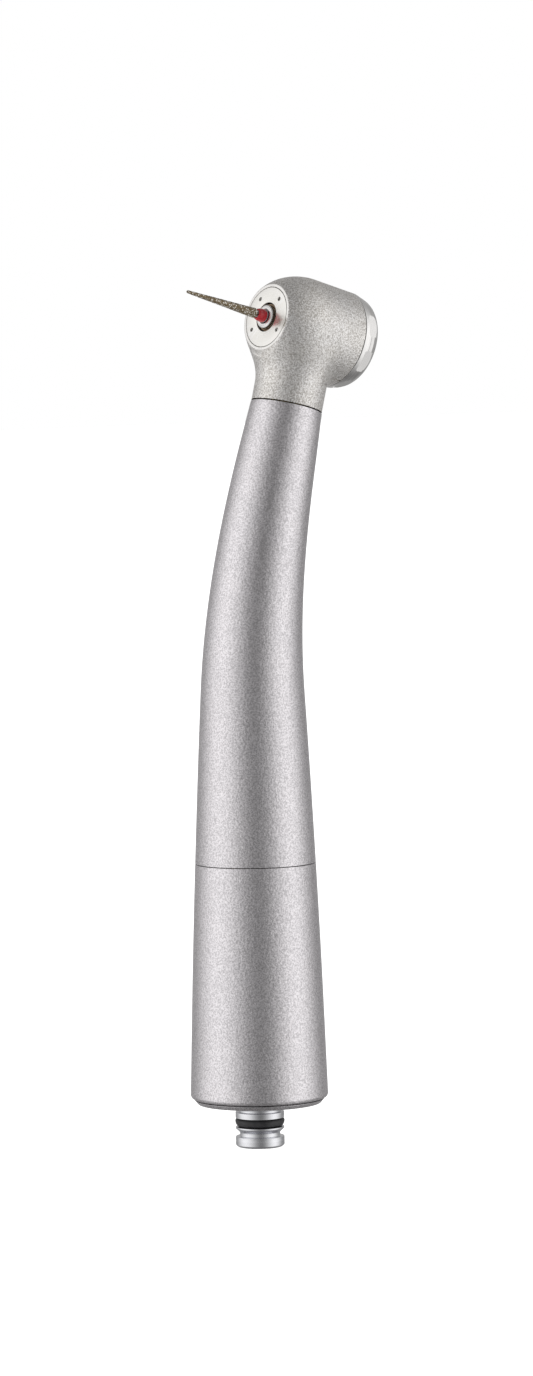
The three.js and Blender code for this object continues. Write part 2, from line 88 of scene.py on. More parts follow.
PLATE_RADIUS = 3.76
PLATE_HOLE = 1.84
PLATE_THICKNESS = 0.55
SPRAY_PITCH_RADIUS = 2.92
SPRAY_ANGLES = [39, -39, 123.5, -123.5]
SPRAY_RADIUS = 0.25
COLLAR_RADIUS = 1.46
COLLAR_END = FACE + 0.39
BAND_END = FACE + 1.66
BUR_TIP = FACE + 12.8
SHANK_RADIUS = 0.8

BALL_RADIUS = 0.5
BALL_PITCH = 2.38
BALLS = 7
BEARING_WIDTH = 2.38

# Each bearing's middle, along the bur's axis
BEARINGS = {"front": 3.16, "rear": -3.39}

SPIGOT_RADIUS = 3.02
SPIGOT_LENGTH = 5.4

# Each tube's outer radius and wall, then its x and y at the rear and at the neck
TUBES = {
    "drive_air_tube": (0.95, 0.2, (2.2, 0), (0.5, 1.3)),
    "water_tube": (0.5, 0.15, (-2.2, 1.5), (-1.7, 0.62)),
    "chip_air_tube": (0.5, 0.15, (-2.2, -1.5), (-1.7, -0.62)),
}

# Sides of a round shape: large, middling and small ones
FINE = 192
ROUND = 96
SMALL = 48

# ------------------------------------------------------------------ dimensions of the visual shapes

# A seam that shows as a dark line is a little wider than in the CAD.
SEAM_LINE = 0.11

# The casting is meshed from its field in cells of this size, within this box.
CASTING_CELL = 0.16
CASTING_LOW = (-14.2, -7.2, -7.4)
CASTING_HIGH = (7.2, 7.2, 8.4)

# The neck flows into the head in a wide blend, which is tighter behind BLEND_TURN, towards the cap.
NECK_BLEND = 2.4
BLEND_TURN = -1.2
BLEND_TURN_LENGTH = 2.6
BLEND_TIGHTENED = 0.7

# Creases between head and neck. The upper one runs along the head's side and the lower one around
# the neck, and both widen towards the cap. The lower one's start and sweep are in degrees around
# the neck, from its side.
CREASE_EDGE = 0.004
CREASE_WIDTH = 0.17
CREASE_DEPTH = 0.4
UPPER_CREASE_START = -2.6
UPPER_CREASE_END = -6.0
UPPER_CREASE_ANGLE = math.radians(28)
UPPER_CREASE_FLARE = math.radians(48)
LOWER_CREASE_PLACE = -6.9
LOWER_CREASE_SLOPE = 0.155
LOWER_CREASE_START = -3
LOWER_CREASE_SWEEP = 83

BUR_BASE_RADIUS = 0.62
BUR_TIP_RADIUS = 0.17
GRAINS_PER_MM = 6.0
GRAIN_HEIGHT = 0.055
GRAIN_REACH = 0.62
GRIT_BOND = (0.19, 0.145, 0.085)

WAVE_RADIUS = 2.6
WAVE_CENTRE = -5.95
WAVE_HEIGHT = 0.38
WAVE_WIRE = 0.12

VALVE_SPRING_LOW = 10.05
VALVE_SPRING_HIGH = 13.1

EDGE_ROUNDING = 0.04
EDGE_ANGLE = math.radians(40)

# ------------------------------------------------------------------ handle centreline and outline


def lean_at(s):
    """The centreline's lean towards +X at distance s from the rear face."""
    u = min(max((s - BEND_START) / BEND_LENGTH, 0.0), 1.0)
    return BEND_ANGLE * (1 - (1 - u) ** BEND_EASE)


def centre_at(s):
    """The centreline's x and z at distance s from the rear face, summed in short steps."""
    if s <= BEND_START:
        return 0.0, s
    steps = math.ceil((s - BEND_START) / 0.5)
    step = (s - BEND_START) / steps
    leans = [lean_at(BEND_START + (i + 0.5) * step) for i in range(steps)]
    return step * sum(map(math.sin, leans)), BEND_START + step * sum(map(math.cos, leans))


def radius_at(s):
    """The handle's outer radius: a smooth curve through its stations."""
    last = len(HANDLE_STATIONS) - 1

    def slope(k):
        before, after = HANDLE_STATIONS[max(k - 1, 0)], HANDLE_STATIONS[min(k + 1, last)]
        return (after[1] - before[1]) / (after[0] - before[0])

    i = max(k for k in range(last) if k == 0 or HANDLE_STATIONS[k][0] <= s)
    (s0, r0), (s1, r1) = HANDLE_STATIONS[i], HANDLE_STATIONS[i + 1]
    span = s1 - s0
    t = (s - s0) / span
    entry = t * (1 - t) ** 2 * slope(i) * span
    leave = t * t * (1 - t) * slope(i + 1) * span
    return r0 + (r1 - r0) * t * t * (3 - 2 * t) + entry - leave


NECK_X, NECK_Z = centre_at(NECK_SEAM)
HEAD_CENTRE = Vector((
    NECK_X + NECK_LENGTH * math.sin(BEND_ANGLE),
    0,
    NECK_Z + NECK_LENGTH * math.cos(BEND_ANGLE),
)) * MM
HEAD = Matrix.Translation(HEAD_CENTRE) @ Matrix.Rotation(BEND_ANGLE - math.pi / 2, 4, "Y")

# ------------------------------------------------------------------ mesh helpers


def new_mesh(name, points, faces):
    """A mesh with its doubled points merged and its faces turned outwards."""
    mesh = bpy.data.meshes.new(name)
    mesh.from_pydata([tuple(p) for p in points], [], faces)
    tidy = bmesh.new()
    tidy.from_mesh(mesh)
    bmesh.ops.remove_doubles(tidy, verts=tidy.verts, dist=1e-5)
    bmesh.ops.recalc_face_normals(tidy, faces=tidy.faces)
    tidy.to_mesh(mesh)
    tidy.free()
    return mesh


def rounded(outline, radius, closed):
    """The outline with each corner cut by a short curve. radius is the longest cut along an edge."""
    points = [Vector(p) for p in outline]
    result = []
    for i, corner in enumerate(points):
        at_end = i in (0, len(points) - 1)
        if at_end and not closed:
            result.append(corner)
            continue
        before, after = points[i - 1], points[(i + 1) % len(points)]
        back, ahead = before - corner, after - corner
        cut = min(radius, 0.42 * back.length, 0.42 * ahead.length)
        start, end = corner + back.normalized() * cut, corner + ahead.normalized() * cut
        if back.angle(ahead) > math.radians(170):
            result.append(corner)
            continue
        for t in (0, 0.25, 0.5, 0.75, 1):
            result.append(start * (1 - t) ** 2 + corner * 2 * t * (1 - t) + end * t * t)
    return result


def lathe(name, outline, sides=ROUND, corner=0.05):
    """A solid of revolution about Z. The outline is (radius, height) points, and it is closed unless
    it starts and ends on the axis."""
    open_ended = outline[0][0] == 0 and outline[-1][0] == 0
    profile = rounded(outline, corner, not open_ended)
    points, faces, rings = [], [], len(profile)
    for k in range(sides):
        angle = 2 * math.pi * k / sides
        c, s = math.cos(angle), math.sin(angle)
        points += [(r * c, r * s, z) for r, z in profile]
    for k in range(sides):
        this, following = k * rings, ((k + 1) % sides) * rings
        for i in range(rings - 1 if open_ended else rings):
            j = (i + 1) % rings
            faces.append((this + i, this + j, following + j, following + i))
    return new_mesh(name, points, faces)


def ring(name, inner, outer, low, high, sides=ROUND, corner=0.04):
    return lathe(name, [(inner, low), (outer, low), (outer, high), (inner, high)], sides, corner)


def o_ring(name, radius, thickness, height, squeeze=1.0):
    """A moulded ring. squeeze is its section's height over its width."""
    turn = [2 * math.pi * k / 24 for k in range(24)]
    outline = [
        (radius + thickness * math.cos(a), height + squeeze * thickness * math.sin(a)) for a in turn
    ]
    return lathe(name, outline, ROUND, 0)


def sweep(name, path, radius, sides=12, closed=False):
    """A round wire along a list of points."""
    path = [Vector(p) for p in path]
    count = len(path)
    points, faces = [], []
    side = None
    for i, p in enumerate(path):
        before = path[i - 1] if closed or i else p
        after = path[(i + 1) % count] if closed or i < count - 1 else p
        along = (after - before).normalized()
        side = (side or along.orthogonal()).copy()
        side = (side - along * side.dot(along)).normalized()
        up = along.cross(side)
        for k in range(sides):
            angle = 2 * math.pi * k / sides
            points.append(p + (side * math.cos(angle) + up * math.sin(angle)) * radius)
    for i in range(count if closed else count - 1):
        this, following = i * sides, ((i + 1) % count) * sides
        for k in range(sides):
            j = (k + 1) % sides
            faces.append((this + k, this + j, following + j, following + k))
    if not closed:
        faces.append(tuple(range(sides)))
        faces.append(tuple(range((count - 1) * sides, count * sides)))
    return new_mesh(name, points, faces)


def positions(mesh):
    found = np.empty(len(mesh.vertices) * 3)
    mesh.vertices.foreach_get("co", found)
    return found.reshape(-1, 3)


def move_points(mesh, points):
    mesh.vertices.foreach_set("co", np.asarray(points, float).ravel())
    mesh.update()


def bent(mesh):
    """Bends a mesh that was built straight along Z onto the handle's centreline."""
    points = positions(mesh)
    for i, (x, y, s) in enumerate(points):
        lean, (cx, cz) = lean_at(s), centre_at(s)
        points[i] = cx + x * math.cos(lean), y, cz - x * math.sin(lean)
    move_points(mesh, points)
    return mesh


def boolean(mesh, operation, *tools):
    """The mesh cut by, or kept inside, each of the tool meshes."""
    subject = bpy.data.objects.new("subject", mesh)
    bpy.context.scene.collection.objects.link(subject)
    helpers = []
    for tool in tools:
        helper = bpy.data.objects.new("helper", tool)
        bpy.context.scene.collection.objects.link(helper)
        helpers.append(helper)
        cutter = subject.modifiers.new("cut", "BOOLEAN")
        cutter.operation = operation
        cutter.solver = "EXACT"
        cutter.object = helper
    graph = bpy.context.evaluated_depsgraph_get()
    result = bpy.data.meshes.new_from_object(subject.evaluated_get(graph))
    for leftover in [subject, *helpers]:
        bpy.data.objects.remove(leftover)
    return result


def piece(node, mesh, frame_matrix=None, finish=None, sharp=None, name=None):
    """Shows a mesh in place of a CAD node, on the node's own body. It takes its slot's finish, unless
    it is given another."""
    mesh.transform(Matrix.Scale(MM, 4))
    mesh.shade_smooth()
    if sharp:
        mesh.set_sharp_from_angle(angle=math.radians(sharp))
    obj = bpy.data.objects.new(name or node + "_fine", mesh)
    bpy.context.scene.collection.objects.link(obj)
    obj.matrix_world = frame_matrix or Matrix.Identity(4)
    mesh.materials.clear()
    mesh.materials.append(finish or FINISHES[SLOT_OF[node]])
    weighted = obj.modifiers.new("even shading", "WEIGHTED_NORMAL")
    weighted.keep_sharp = True
    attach(obj, BODY_OF[node])
    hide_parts(node)
    return obj


# ------------------------------------------------------------------ material helpers


class Graph:
    """Adds shader nodes to a tree. An input is a number, a colour or another node's output."""

    def __init__(self, tree):
        self.tree = tree

    def node(self, kind, settings=None, **inputs):
        made = self.tree.nodes.new(kind)
        for key, value in (settings or {}).items():
            setattr(made, key, value)
        for key, value in inputs.items():
            self.feed(made.inputs[key.replace("_", " ")], value)
        return made

    def feed(self, socket, value):
        if isinstance(value, bpy.types.NodeSocket):
            self.tree.links.new(value, socket)
        elif socket.type == "RGBA":
            socket.default_value = (*value, 1)
        else:
            socket.default_value = value

    def math(self, operation, *values):
        made = self.tree.nodes.new("ShaderNodeMath")
        made.operation = operation
        for socket, value in zip(made.inputs, values):
            self.feed(socket, value)
        return made.outputs[0]

    def vector_math(self, operation, *values):
        made = self.tree.nodes.new("ShaderNodeVectorMath")
        made.operation = operation
        for socket, value in zip(made.inputs, values):
            self.feed(socket, value)
        return made.outputs["Value" if operation in ("DOT_PRODUCT", "LENGTH") else "Vector"]

    def mix(self, share, low, high):
        made = self.tree.nodes.new("ShaderNodeMix")
        made.data_type = "RGBA"
        for socket, value in zip((made.inputs[0], made.inputs[6], made.inputs[7]), (share, low, high)):
            self.feed(socket, value)
        return made.outputs[2]

    def ranged(self, value, low, high, start, end):
        return self.node("ShaderNodeMapRange", None, Value=value, From_Min=low, From_Max=high,
                         To_Min=start, To_Max=end).outputs[0]

    def noise(self, vector, scale, detail=2.0, roughness=0.5):
        return self.node("ShaderNodeTexNoise", None, Vector=vector, Scale=scale, Detail=detail,
                         Roughness=roughness).outputs[0]

    def millimetres(self):
        """A point's place in its piece's own frame, in millimetres."""
        here = self.node("ShaderNodeTexCoord").outputs["Object"]
        return self.vector_math("MULTIPLY", here, (1000.0, 1000.0, 1000.0))

    def turned_lines(self, place, spacing):
        """Noise that runs in fine rings around the piece's Z axis."""
        parts = self.node("ShaderNodeSeparateXYZ", None, Vector=place).outputs
        level = self.node("ShaderNodeCombineXYZ", None, X=parts[0], Y=parts[1], Z=0.0).outputs[0]
        around = self.vector_math("LENGTH", level)
        swirl = self.noise(place, 0.35, 1.0)
        line = self.node("ShaderNodeCombineXYZ", None, X=around, Y=parts[2],
                         Z=self.math("MULTIPLY", swirl, 0.06)).outputs[0]
        return self.noise(line, 1 / spacing, 2.0, 0.65)

    def worn_edges(self, sharpness=0.06):
        """1 on outer edges, 0 on open surfaces."""
        edge = self.node("ShaderNodeNewGeometry").outputs["Pointiness"]
        return self.ranged(edge, 0.5 + sharpness / 3, 0.5 + sharpness, 0.0, 1.0)

    def bump(self, height, depth, strength=1.0, under=None):
        """depth is the height's full range in millimetres."""
        inputs = {"Height": height, "Distance": depth * MM, "Strength": strength}
        if under is not None:
            inputs["Normal"] = under
        return self.node("ShaderNodeBump", None, **inputs).outputs[0]


def shade(colour, factor):
    return tuple(min(1.0, channel * factor) for channel in colour)


def new_material(name):
    material = bpy.data.materials.new(name)
    material.use_nodes = True
    graph = Graph(material.node_tree)
    shader = material.node_tree.nodes["Principled BSDF"]
    return material, graph, shader


def blasted_metal(name, colour, grain, depth, roughness, speckle, patch_tint, metal=1.0):
    """Bead-blasted steel: fine pits, a faint glitter of facets painted into the colour as lighter and
    darker specks, soft patches and rubbed edges. A coarse blast scatters light like a matte surface, so
    metal is below 1 for it."""
    material, graph, shader = new_material(name)
    place = graph.millimetres()
    pits = graph.noise(place, 1 / grain, 3.0, 0.6)
    glitter = graph.noise(place, 1.9 / grain, 1.0)
    patches = graph.noise(place, 0.22, 3.0, 0.55)
    wear = graph.worn_edges()
    even = graph.mix(graph.ranged(patches, 0.35, 0.65, 0.0, 1.0), colour, patch_tint)
    # The colour is speckled lighter and darker at random: painted glitter, facets shown as caught in
    # light and in shade.
    dark, light = shade(colour, 1 - speckle), shade(colour, 1 + speckle)
    painted_glitter = graph.mix(graph.ranged(glitter, 0.36, 0.64, 0.0, 1.0), dark, light)
    body = graph.mix(0.7, even, painted_glitter)
    rubbed = graph.math("MULTIPLY", wear, 0.4)
    graph.feed(shader.inputs["Base Color"], graph.mix(rubbed, body, shade(colour, 1.1)))
    rough = graph.ranged(pits, 0.3, 0.7, roughness - 0.05, roughness + 0.05)
    rough = graph.math("ADD", rough, graph.ranged(patches, 0.3, 0.7, -0.02, 0.02))
    rough = graph.math("SUBTRACT", rough, graph.math("MULTIPLY", wear, 0.12))
    graph.feed(shader.inputs["Roughness"], rough)
    graph.feed(shader.inputs["Normal"], graph.bump(pits, depth))
    shader.inputs["Metallic"].default_value = metal
    return material


def turned_metal(name, colour, roughness, spacing=0.07, depth=0.002, tint=None):
    """Lathe-turned metal: fine rings in height, gloss and shade, with rubbed edges."""
    material, graph, shader = new_material(name)
    place = graph.millimetres()
    lines = graph.turned_lines(place, spacing)
    smudges = graph.noise(place, 0.7, 3.0, 0.6)
    wear = graph.worn_edges()
    darker = tint or shade(colour, 0.86)
    toned = graph.mix(graph.ranged(lines, 0.3, 0.7, 0.0, 1.0), darker, colour)
    toned = graph.mix(graph.math("MULTIPLY", wear, 0.6), toned, shade(colour, 1.08))
    graph.feed(shader.inputs["Base Color"], toned)
    rough = graph.ranged(lines, 0.3, 0.7, roughness * 0.75, roughness * 1.3)
    rough = graph.math("ADD", rough, graph.ranged(smudges, 0.45, 0.75, 0.0, 0.05))
    graph.feed(shader.inputs["Roughness"], rough)
    graph.feed(shader.inputs["Normal"], graph.bump(lines, depth))
    shader.inputs["Metallic"].default_value = 1.0
    return material


def rubber_finish(name, colour):
    """Moulded rubber with a dull bloom, dust and faint flow lines."""
    material, graph, shader = new_material(name)
    place = graph.millimetres()
    bloom = graph.noise(place, 1.1, 4.0, 0.6)
    dust = graph.noise(place, 22.0, 2.0)
    flow = graph.turned_lines(place, 0.12)
    body = graph.mix(graph.ranged(bloom, 0.35, 0.7, 0.0, 1.0), shade(colour, 0.12), shade(colour, 0.3))
    specks = graph.ranged(dust, 0.68, 0.76, 0.0, 0.3)
    graph.feed(shader.inputs["Base Color"], graph.mix(specks, body, (0.2, 0.2, 0.22)))
    graph.feed(shader.inputs["Roughness"], graph.ranged(bloom, 0.3, 0.7, 0.32, 0.5))
    graph.feed(shader.inputs["Normal"], graph.bump(flow, 0.004, under=graph.bump(dust, 0.004)))
    return material


def enamel_finish(name, colour):
    """The bur's colour ring: glossy enamel with slow thickness changes and fine chips at its edges."""
    material, graph, shader = new_material(name)
    place = graph.millimetres()
    depth = graph.noise(place, 2.2, 2.0)
    peel = graph.noise(place, 9.0, 2.0)
    wear = graph.worn_edges(0.1)
    body = graph.mix(graph.ranged(depth, 0.3, 0.7, 0.0, 1.0), shade(colour, 0.72), colour)
    chips = graph.math("MULTIPLY", wear, 0.35)
    graph.feed(shader.inputs["Base Color"], graph.mix(chips, body, (0.75, 0.3, 0.3)))
    graph.feed(shader.inputs["Roughness"], graph.ranged(peel, 0.3, 0.7, 0.22, 0.36))
    graph.feed(shader.inputs["Normal"], graph.bump(peel, 0.006))
    shader.inputs["Coat Weight"].default_value = 0.4
    shader.inputs["Coat Roughness"].default_value = 0.1
    return material


def grit_finish(name):
    """Diamond grains in a nickel bond: each grain has its own shade and gloss."""
    material, graph, shader = new_material(name)
    place = graph.millimetres()
    cells = graph.node("ShaderNodeTexVoronoi", None, Vector=place, Scale=GRAINS_PER_MM)
    grain = graph.node("ShaderNodeSeparateColor", None, Color=cells.outputs["Color"]).outputs[0]
    bond = graph.ranged(cells.outputs["Distance"], 0.25, 0.6, 0.0, 1.0)
    stone = graph.mix(graph.ranged(grain, 0.35, 0.75, 0.0, 1.0), GRIT_BOND, (1, 0.98, 0.93))
    graph.feed(shader.inputs["Base Color"], graph.mix(bond, stone, GRIT_BOND))
    graph.feed(shader.inputs["Roughness"], graph.ranged(grain, 0.0, 1.0, 0.5, 0.2))
    graph.feed(shader.inputs["Normal"], graph.bump(graph.noise(place, 16.0, 3.0, 0.7), 0.03))
    shader.inputs["Metallic"].default_value = 0.75
    return material


def ceramic_finish(name, colour):
    """Polished ceramic balls with faint grain and hairline tracks."""
    material, graph, shader = new_material(name)
    place = graph.millimetres()
    grain = graph.noise(place, 14.0, 3.0)
    tracks = graph.turned_lines(place, 0.05)
    body = graph.mix(graph.ranged(grain, 0.3, 0.7, 0.0, 1.0), shade(colour, 0.9), colour)
    graph.feed(shader.inputs["Base Color"], body)
    graph.feed(shader.inputs["Roughness"], graph.ranged(tracks, 0.3, 0.7, 0.08, 0.2))
    graph.feed(shader.inputs["Normal"], graph.bump(grain, 0.0008))
    return material


def resin_finish(name, colour):
    """The cages' fibre-filled resin: short fibres in a matte binder."""
    material, graph, shader = new_material(name)
    place = graph.millimetres()
    stretched = graph.vector_math("MULTIPLY", place, (3.0, 16.0, 3.0))
    fibres = graph.noise(stretched, 1.2, 4.0, 0.7)
    mottle = graph.noise(place, 1.5, 2.0)
    body = graph.mix(graph.ranged(fibres, 0.35, 0.65, 0.0, 1.0), shade(colour, 0.6), shade(colour, 1.2))
    graph.feed(shader.inputs["Base Color"], graph.mix(graph.math("MULTIPLY", mottle, 0.3), body, colour))
    graph.feed(shader.inputs["Roughness"], graph.ranged(fibres, 0.3, 0.7, 0.4, 0.65))
    graph.feed(shader.inputs["Normal"], graph.bump(fibres, 0.008))
    return material


# Each record slot's own finish
FINISHES = {
    "blasted_steel": blasted_metal("blasted_steel", (0.83, 0.805, 0.775), 0.32, 0.06, 0.45, 0.52,
                                   (0.81, 0.76, 0.68), 0.9),
    "satin_steel": blasted_metal("satin_steel", (0.73, 0.71, 0.73), 0.36, 0.04, 0.34, 0.3,
                                 (0.715, 0.70, 0.725)),
    "polished_steel": turned_metal("polished_steel", COLOUR_OF["polished_steel"], 0.16),
    "bearing_steel": turned_metal("bearing_steel", COLOUR_OF["bearing_steel"], 0.24, 0.09, 0.003),
    "bronze": turned_metal("bronze", shade(COLOUR_OF["bronze"], 0.5), 0.3, 0.06, 0.003),
    "brass": turned_metal("brass", COLOUR_OF["brass"], 0.3, 0.1, 0.004),
    "spring_steel": turned_metal("spring_steel", COLOUR_OF["spring_steel"], 0.28, 0.05, 0.002),
    "ceramic": ceramic_finish("ceramic", COLOUR_OF["ceramic"]),
    "cage_resin": resin_finish("cage_resin", COLOUR_OF["cage_resin"]),
    "rubber": rubber_finish("rubber", COLOUR_OF["rubber"]),
    "red_band": enamel_finish("red_band", (0.42, 0.008, 0.016)),
    "diamond_grit": grit_finish("diamond_grit"),
}

# Finishes of single surfaces that shine differently from their slot
MACHINED_RIM = turned_metal("machined_rim", (0.88, 0.87, 0.85), 0.2)
FACE_STEEL = turned_metal("face_steel", (0.97, 0.96, 0.93), 0.3, 0.2, 0.006, (0.88, 0.87, 0.83))
SPIGOT_STEEL = turned_metal("spigot_steel", (0.82, 0.83, 0.86), 0.19, 0.12, 0.004)

# ------------------------------------------------------------------ handle


def front_shell():
    span = np.linspace(MID_SEAM + 1.5 * SEAM_GAP, NECK_SEAM - SEAM_LINE, 58)
    inner = np.linspace(NECK_SEAM - SEAM_LINE, 40, 30)
    outline = [(radius_at(s), s) for s in span] + [(radius_at(s) - SHELL_WALL, s) for s in inner]
    outline += [(6.15, 39.4), (6.15, MID_SEAM + 1.5 * SEAM_GAP)]
    return bent(lathe("front_shell", outline, FINE))


def rear_sleeve():
    shoulder = [(7.05, 0.66), (8.1, 0.66), (8.36, 0.8)]
    outline = shoulder + [(radius_at(s), s) for s in np.linspace(1.1, MID_SEAM, 20)]
    outline += [(6.5, MID_SEAM), (6.5, 6.2), (7.05, 5.6)]
    return lathe("rear_sleeve", outline, FINE, 0.07)


def rear_lock_ring():
    outline = [(2.8, 0.6), (3.4, 0), (7.6, 0), (8.05, 0.53), (6.95, 0.53), (6.95, 5.2)]
    return lathe("rear_lock_ring", outline + [(6.2, 5.2), (6.2, 1.2), (2.8, 1.2)], FINE, 0.07)


def middle_connector():
    return lathe("middle_connector", [
        (5.1, 20), (6.35, 20), (6.35, 25.7), (5.75, 25.7), (5.75, 26.3), (6.35, 26.3), (6.35, 29.4),
        (6.0, 29.7), (6.0, 33.7), (5.4, 33.7), (5.4, 34.3), (6.0, 34.3), (6.0, 39), (5.1, 39),
    ])


# ------------------------------------------------------------------ coupling spigot


def coupling_spigot():
    r = SPIGOT_RADIUS
    body = lathe("coupling_spigot", [
        (0, 5.4), (2.4, 5.4), (2.4, 1.3), (2.6, 1.2), (2.6, -0.15), (r - 0.05, -0.2),
        (r - 0.05, -0.75), (2.6, -0.75), (2.6, -1.05), (r, -1.05), (r, -1.8), (2.45, -1.8),
        (2.45, -2.9), (r, -2.9), (r, -3.1), (2.5, -3.6), (2.5, -4.05), (r, -4.1),
        (r, 0.25 - SPIGOT_LENGTH), (2.75, -SPIGOT_LENGTH), (0, -SPIGOT_LENGTH),
    ], ROUND, 0.07)
    ports = []
    for size, x, y in ((0.8, 1.25, 0), (0.8, -1.25, 0), (0.35, 0, 1.5), (0.35, 0, -1.5)):
        tool = lathe("port", [(0, -7), (size, -7), (size, 7), (0, 7)], SMALL, 0)
        tool.transform(Matrix.Translation((x, y, 0)))
        ports.append(tool)
    return boolean(body, "DIFFERENCE", *ports)


def spigot_oring():
    """A D-shaped seal that fills its groove: widest near its top and tapered below. The seal is real,
    and its lower part is painted shade: black rubber put in the shadowed gap under a round seal.
    """
    return lathe("spigot_oring", [
        (2.47, -1.83), (2.82, -1.83), (3.0, -1.95), (3.08, -2.16), (3.0, -2.5), (2.84, -2.76),
        (2.6, -2.88), (2.47, -2.88),
    ], ROUND, 0.12)


def air_tube(name):
    """A tube that drifts across the handle from its rear position to its neck position."""
    radius, wall, rear, neck = TUBES[name]
    span = np.linspace(13.4, 84.6, 60)
    outline = [(radius, s) for s in span] + [(radius - wall, s) for s in span[::-1]]
    tube = lathe(name, outline, 24, 0.02)
    points = positions(tube)
    t = np.clip((points[:, 2] - 20) / (82 - 20), 0, 1)
    t = t * t * (3 - 2 * t)
    points[:, 0] += rear[0] + (neck[0] - rear[0]) * t
    points[:, 1] += rear[1] + (neck[1] - rear[1]) * t
    move_points(tube, points)
    return bent(tube)


def valve_spring():
    """A coil spring in the space of the CAD sleeve."""
    turns, wire, mean = 9, 0.075, 0.575
    low, high = VALVE_SPRING_LOW + wire, VALVE_SPRING_HIGH - wire
    steps = turns * 24
    path = []
    for i in range(steps + 1):
        angle = 2 * math.pi * turns * i / steps
        path.append((mean * math.cos(angle), mean * math.sin(angle), low + (high - low) * i / steps))
    return sweep("valve_spring", path, wire, 10)


# ------------------------------------------------------------------ head casting


def head_field(points):
    """Below 0 inside the casting: a turned head and a round neck that flows into it, in a wide blend
    on the nose's side and a tight one on the cap's side."""
    x, y, z = points.T
    across = np.hypot(x, y)
    height = z - NOSE_CENTRE
    share = np.clip(height / NOSE_LENGTH, 0, 0.97)
    nose = HEAD_RADIUS * np.sqrt(1 - share ** 2)
    slope = HEAD_RADIUS * share / NOSE_LENGTH / np.sqrt(1 - share ** 2)
    taper = HEAD_RADIUS + (HEAD_RADIUS - CAP_RADIUS) * np.minimum(height, 0) / (NOSE_CENTRE - CAP_SEAM)
    head = (across - np.where(height > 0, nose, taper)) / np.sqrt(1 + slope ** 2)
    neck = np.maximum(np.hypot(y, z) - NECK_RADIUS, x + 2)
    behind = np.clip((BLEND_TURN - z) / BLEND_TURN_LENGTH, 0, 1)
    return smooth_union(head, neck, NECK_BLEND * (1 - BLEND_TIGHTENED * behind))


def upper_crease(side):
    """A thin wedge that cuts the crease along the head's side, widening towards the cap."""
    edge = Vector((-math.cos(UPPER_CREASE_ANGLE), side * math.sin(UPPER_CREASE_ANGLE))) * HEAD_RADIUS
    flare = Vector((-math.cos(UPPER_CREASE_FLARE), side * math.sin(UPPER_CREASE_FLARE)))
    across = flare.orthogonal()
    beyond = 1.2
    points = []
    for z, width in ((UPPER_CREASE_START, CREASE_EDGE), (UPPER_CREASE_END, 1.25 * CREASE_WIDTH)):
        for reach, shift in ((-CREASE_DEPTH, 0), (beyond, 0), (beyond, width), (-CREASE_DEPTH, width)):
            spot = edge + flare * reach + across * (shift - width / 2)
            points.append((spot.x, spot.y, z))
    return new_mesh("crease", points, [
        (0, 1, 2, 3), (4, 5, 6, 7), (0, 1, 5, 4), (1, 2, 6, 5), (2, 3, 7, 6), (3, 0, 4, 7),
    ])


def lower_crease(side):
    """A thin bent wedge that cuts the crease around the neck's side, widening towards the cap."""
    points, faces, steps = [], [], 16
    for k in range(steps + 1):
        angle = math.radians(LOWER_CREASE_START + LOWER_CREASE_SWEEP * k / steps)
        width = CREASE_EDGE + CREASE_WIDTH * k / steps
        for radius in (NECK_RADIUS - CREASE_DEPTH / 2, NECK_RADIUS + 2):
            y, z = side * radius * math.cos(angle), -radius * math.sin(angle)
            x = LOWER_CREASE_PLACE - LOWER_CREASE_SLOPE * z
            points += [(x - width / 2, y, z), (x + width / 2, y, z)]
    for k in range(steps):
        a, b = 4 * k, 4 * k + 4
        faces += [(a + i, a + j, b + j, b + i) for i, j in ((0, 1), (1, 3), (3, 2), (2, 0))]
    faces += [(0, 1, 3, 2), tuple(4 * steps + i for i in (0, 2, 3, 1))]
    return new_mesh("crease", points, faces)


def smooth_union(a, b, width):
    """The union of two fields, blended where they are within width of each other."""
    overlap = np.maximum(width - np.abs(a - b), 0) / width
    return np.minimum(a, b) - overlap ** 2 * width / 4


def onto_surface(field, points, rounds=6):
    """Moves points along a field's gradient until they lie on its surface."""
    step = 0.01
    for _ in range(rounds):
        value = field(points)
        gradient = np.empty_like(points)
        for axis in range(3):
            shift = np.zeros(3)
            shift[axis] = step
            gradient[:, axis] = (field(points + shift) - field(points - shift)) / (2 * step)
        size = np.maximum((gradient ** 2).sum(1), 0.2)
        points = points - gradient * np.clip(value / size, -0.3, 0.3)[:, None]
    return points


def surface_of(name, field, low, high, step):
    """A quad mesh of a field's surface, with one point in each grid cell that the surface crosses."""
    low, high = np.array(low), np.array(high)
    counts = np.ceil((high - low) / step).astype(int) + 1
    axes = [low[i] + step * np.arange(counts[i]) for i in range(3)]
    grid = np.stack(np.meshgrid(*axes, indexing="ij"), -1).reshape(-1, 3)
    inside = (field(grid) < 0).reshape(counts)
    corners = [(i, j, k) for i in (0, 1) for j in (0, 1) for k in (0, 1)]
    cells = counts - 1
    parts = [inside[i:cells[0] + i, j:cells[1] + j, k:cells[2] + k] for i, j, k in corners]
    total = np.sum(parts, axis=0)
    crossed = (total > 0) & (total < 8)
    number = np.full(crossed.shape, -1)
    number[crossed] = np.arange(crossed.sum())
    points = low + step * (np.argwhere(crossed) + 0.5)
    faces = []
    for axis in range(3):
        one, two = [a for a in range(3) if a != axis]
        ahead = np.roll(inside, -1, axis)
        ahead[tuple(slice(-1, None) if a == axis else slice(None) for a in range(3))] = False
        edges = np.argwhere(inside != ahead)
        usable = (edges[:, one] > 0) & (edges[:, two] > 0) & (edges < counts - 1).all(1)
        edges = edges[usable]
        quad = []
        for a, b in ((0, 0), (1, 0), (1, 1), (0, 1)):
            cell = edges.copy()
            cell[:, one] -= a
            cell[:, two] -= b
            quad.append(number[tuple(cell.T)])
        faces += [tuple(int(v) for v in row) for row in np.stack(quad, 1)]
    return new_mesh(name, onto_surface(field, points), faces)


